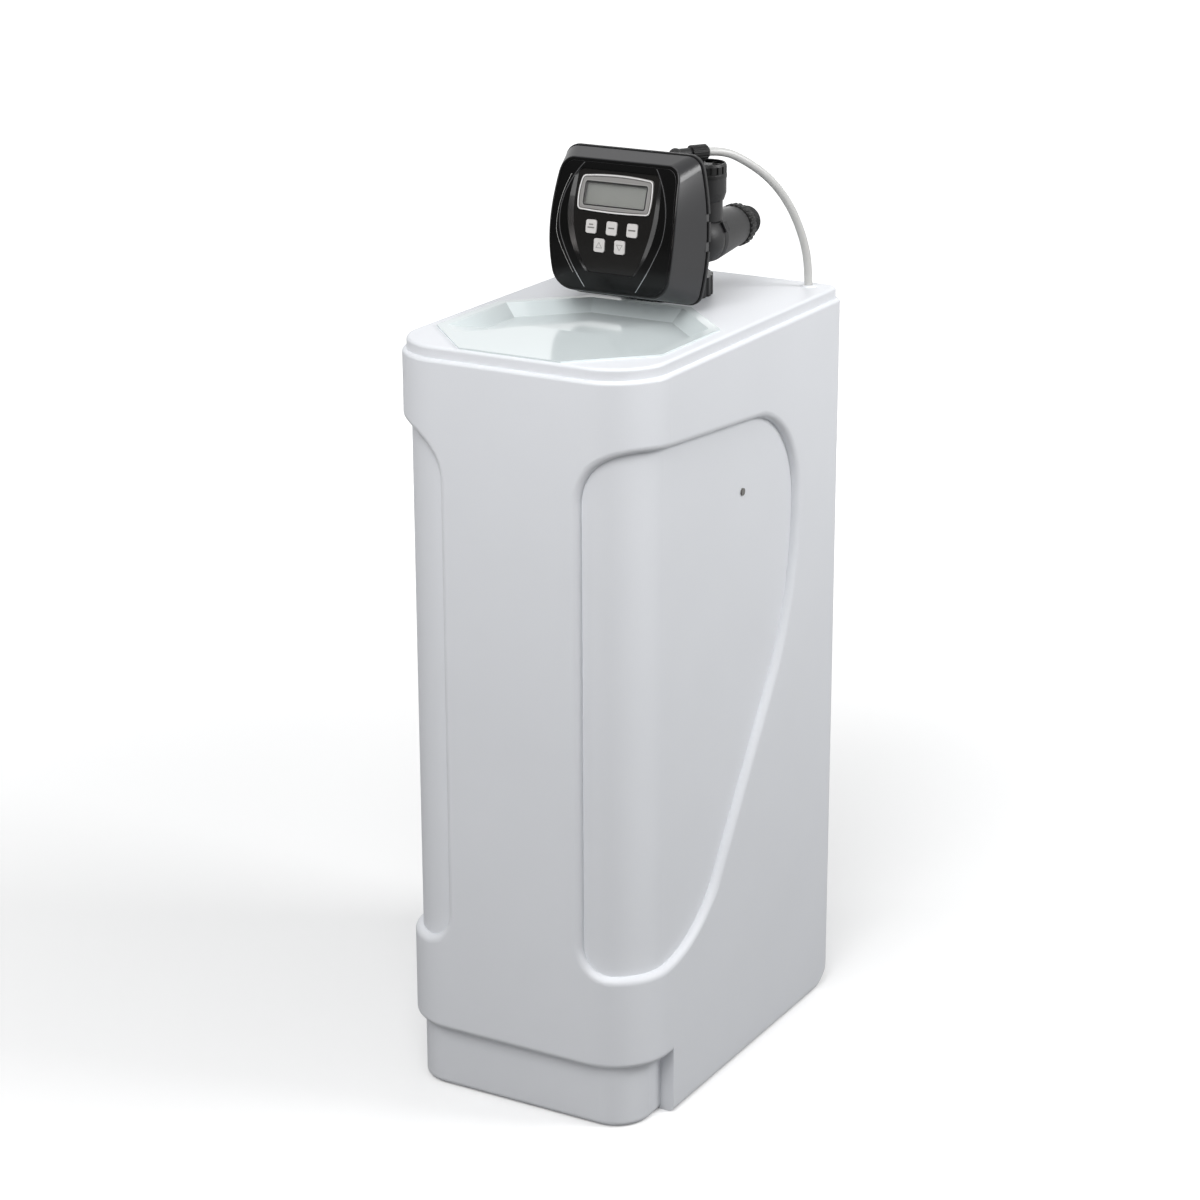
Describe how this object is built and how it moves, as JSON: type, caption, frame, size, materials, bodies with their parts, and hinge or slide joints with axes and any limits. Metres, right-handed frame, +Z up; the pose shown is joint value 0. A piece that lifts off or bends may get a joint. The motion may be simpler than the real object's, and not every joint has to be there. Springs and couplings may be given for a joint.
{
  "type": "water softener",
  "caption": "Cabinet water softener: a tall moulded salt cabinet with a lift-out lid, a resin tank inside, and a control valve with a display and push buttons on top.",
  "frame": {"origin": "middle of the cabinet's footprint, on the floor", "axes": "+Z up, the control head faces -Y, +X to the right as seen from the front"},
  "size_m": [0.32, 0.484, 1.045],
  "materials": {
    "cabinet": "fine satin",
    "lid": "fine satin",
    "well": "smooth",
    "tank": "wound glass fibre under paint",
    "tank_cup": "matte",
    "resin": "fine beads",
    "white_plastic": "smooth",
    "valve": "moulded, glass filled",
    "ribbed": "moulded",
    "cover": "satin",
    "face": "printed film",
    "bezel": "satin",
    "trim": "bright foil",
    "button": "soft satin",
    "window": "clear",
    "display": "liquid crystal",
    "board": "lacquered",
    "steel": "plated",
    "gear": "smooth",
    "seal": "smooth",
    "tube": "smooth"
  },
  "bodies": {
    "softener": {"cabinet": "cabinet", "top_plate": "cabinet", "side_plug": "lid", "tube_grommet": "cabinet", "salt_grid": "well", "brine_well": "well", "brine_well_cap": "well", "float_valve": "white_plastic", "resin_tank": "tank", "tank_base": "tank_cup", "resin_bed": "resin", "riser_tube": "white_plastic", "bottom_distributor": "white_plastic", "top_distributor": "white_plastic", "valve_body": "valve", "neck_seal": "seal", "seal_stack": "seal", "drive_cap": "valve", "injector": "white_plastic", "injector_cap": "ribbed", "refill_elbow": "valve", "refill_nut": "ribbed", "refill_clip": "steel", "drain_elbow": "valve", "drain_clip": "steel", "inlet_nut": "ribbed", "outlet_nut": "ribbed", "inlet_fitting": "valve", "outlet_fitting": "valve", "port_seals": "seal", "meter_cage": "white_plastic", "drive_bracket": "valve", "bracket_screws": "steel", "gear_motor": "steel", "gear_cover": "gear", "circuit_board": "board", "display_module": "display", "power_socket": "ribbed", "brine_tube": "tube"},
    "salt_lid": {"salt_lid": "lid"},
    "front_cover": {"front_cover": "cover", "face_insert": "face", "trim_lines": "trim", "display_bezel": "bezel", "display_window": "window"},
    "button_left": {"button_left": "button"},
    "button_middle": {"button_middle": "button"},
    "button_right": {"button_right": "button"},
    "button_up": {"button_up": "button"},
    "button_down": {"button_down": "button"},
    "main_gear": {"main_gear": "gear"},
    "reduction_gear": {"reduction_gear": "gear"},
    "motor_pinion": {"motor_pinion": "gear"},
    "piston": {"piston": "steel"},
    "meter_turbine": {"meter_turbine": "white_plastic"},
    "brine_float": {"brine_float": "white_plastic"}
  },
  "joints": [
    {"name": "lid_slide", "type": "slide", "parent": "softener", "child": "salt_lid", "axis": [0, -0.9781, 0.2079], "range_m": [0, 0.3]},
    {"name": "cover_slide", "type": "slide", "parent": "softener", "child": "front_cover", "axis": [0, -1, 0], "range_m": [0, 0.1]},
    {"name": "button_left_push", "type": "slide", "parent": "front_cover", "child": "button_left", "axis": [0, 0.984, -0.1783], "range_m": [0, 0.001], "stiffness_N_per_m": 400, "springref_m": -0.001},
    {"name": "button_middle_push", "type": "slide", "parent": "front_cover", "child": "button_middle", "axis": [0, 0.984, -0.1783], "range_m": [0, 0.001], "stiffness_N_per_m": 400, "springref_m": -0.001},
    {"name": "button_right_push", "type": "slide", "parent": "front_cover", "child": "button_right", "axis": [0, 0.984, -0.1783], "range_m": [0, 0.001], "stiffness_N_per_m": 400, "springref_m": -0.001},
    {"name": "button_up_push", "type": "slide", "parent": "front_cover", "child": "button_up", "axis": [0, 0.9947, -0.1027], "range_m": [0, 0.001], "stiffness_N_per_m": 400, "springref_m": -0.001},
    {"name": "button_down_push", "type": "slide", "parent": "front_cover", "child": "button_down", "axis": [0, 0.9947, -0.1027], "range_m": [0, 0.001], "stiffness_N_per_m": 400, "springref_m": -0.001},
    {"name": "main_gear_spin", "type": "hinge", "parent": "softener", "child": "main_gear", "pos_m": [0, 0.016, 0.955], "axis": [0, -1, 0], "range_deg": [0, 360]},
    {"name": "reduction_gear_spin", "type": "hinge", "parent": "softener", "child": "reduction_gear", "pos_m": [-0.03053, 0.02, 0.93592], "axis": [0, -1, 0], "range_deg": [-1261, 0]},
    {"name": "motor_pinion_spin", "type": "hinge", "parent": "softener", "child": "motor_pinion", "pos_m": [-0.0485, 0.0245, 0.92002], "axis": [0, -1, 0], "range_deg": [0, 2521]},
    {"name": "piston_slide", "type": "slide", "parent": "softener", "child": "piston", "axis": [0, 1, 0], "range_m": [0, 0.036]},
    {"name": "turbine_spin", "type": "hinge", "parent": "softener", "child": "meter_turbine", "pos_m": [-0.05, 0.145, 0.94], "axis": [0, 1, 0], "continuous": true},
    {"name": "float_slide", "type": "slide", "parent": "softener", "child": "brine_float", "axis": [0, 0, 1], "range_m": [0, 0.02]}
  ],
  "couplings": [
    {"joint": "main_gear_spin", "follows": "piston_slide", "rad_per_m": 174.53},
    {"joint": "reduction_gear_spin", "follows": "piston_slide", "rad_per_m": -610.87},
    {"joint": "motor_pinion_spin", "follows": "piston_slide", "rad_per_m": 1221.7}
  ]
}
